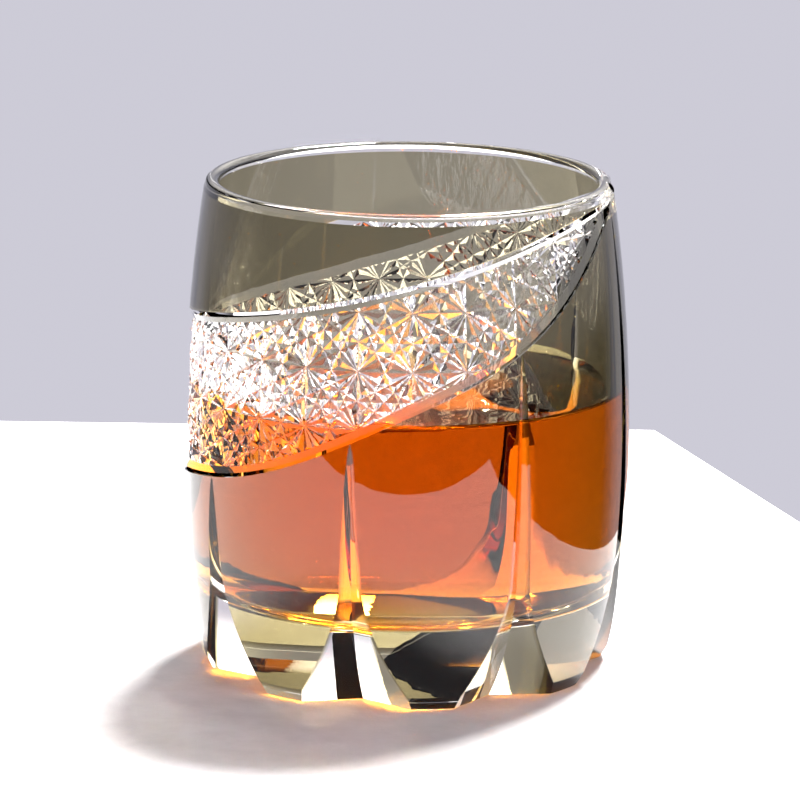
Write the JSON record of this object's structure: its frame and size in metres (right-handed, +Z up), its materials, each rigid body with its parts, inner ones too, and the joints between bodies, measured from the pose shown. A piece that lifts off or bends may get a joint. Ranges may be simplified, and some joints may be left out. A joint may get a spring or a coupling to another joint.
{
  "type": "whiskey tumbler",
  "caption": "Barrel-shaped rock glass in thick cut crystal with a ground smoke skin, a slanting band of cut stars and needle cuts flaring to petals at the foot, holding whiskey",
  "frame": {"origin": "centre of the base, on the surface that the tumbler stands on", "axes": "+Z up along the glass's axis; -Y is the front, where the cut band climbs from left to right"},
  "size_m": [0.0859, 0.086, 0.095],
  "materials": {
    "clear_crystal": "polished clear crystal",
    "smoke_glass": "polished smoke-coloured glass skin",
    "whiskey": "clear amber liquid"
  },
  "bodies": {
    "root": {"crystal_body": "clear_crystal", "smoke_overlay_upper": "smoke_glass", "smoke_petal_1": "smoke_glass", "smoke_petal_2": "smoke_glass", "smoke_petal_3": "smoke_glass", "smoke_petal_4": "smoke_glass", "smoke_petal_5": "smoke_glass", "smoke_petal_6": "smoke_glass", "smoke_petal_7": "smoke_glass", "smoke_petal_8": "smoke_glass", "whiskey": "whiskey"}
  },
  "joints": []
}
